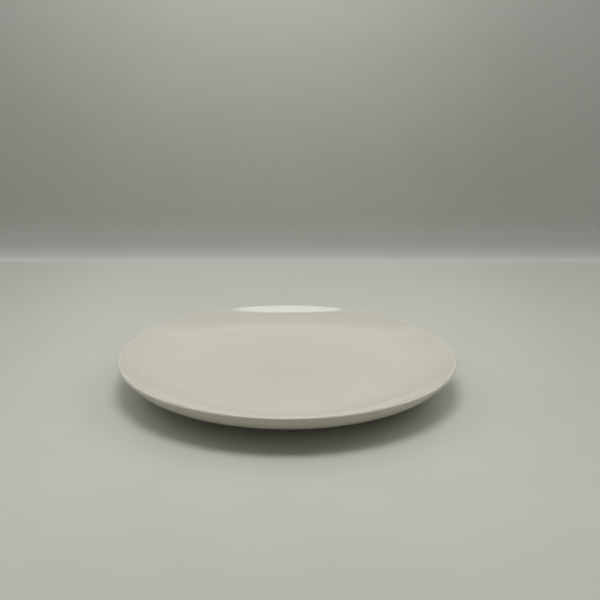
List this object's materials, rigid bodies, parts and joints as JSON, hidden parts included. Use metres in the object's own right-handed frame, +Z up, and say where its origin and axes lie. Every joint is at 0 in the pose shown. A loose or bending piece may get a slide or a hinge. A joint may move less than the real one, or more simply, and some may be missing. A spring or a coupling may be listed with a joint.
{
  "type": "coupe dinner plate",
  "caption": "Round ceramic coupe dinner plate whose face sweeps up smoothly to a rounded lip, with a shallow well and a bare-edged foot ring, glazed ivory all over, for serving a meal.",
  "frame": {"origin": "centre of the foot ring's tread, on the surface that the plate stands on", "axes": "+Z up along the plate's axis of revolution; X and Y lie in the table's plane and are alike"},
  "size_m": [0.27, 0.27, 0.026],
  "materials": {
    "clay": "bare fired stoneware, dry and slightly rough, seen only on the foot ring's tread",
    "glaze": "smooth glossy ivory glaze over the face, the lip and the outside",
    "base_glaze": "glossy ivory glaze in the hollow of the foot ring"
  },
  "bodies": {
    "root": {"ceramic_body": "clay", "glaze_coat": "glaze", "glaze_base": "base_glaze"}
  },
  "joints": []
}
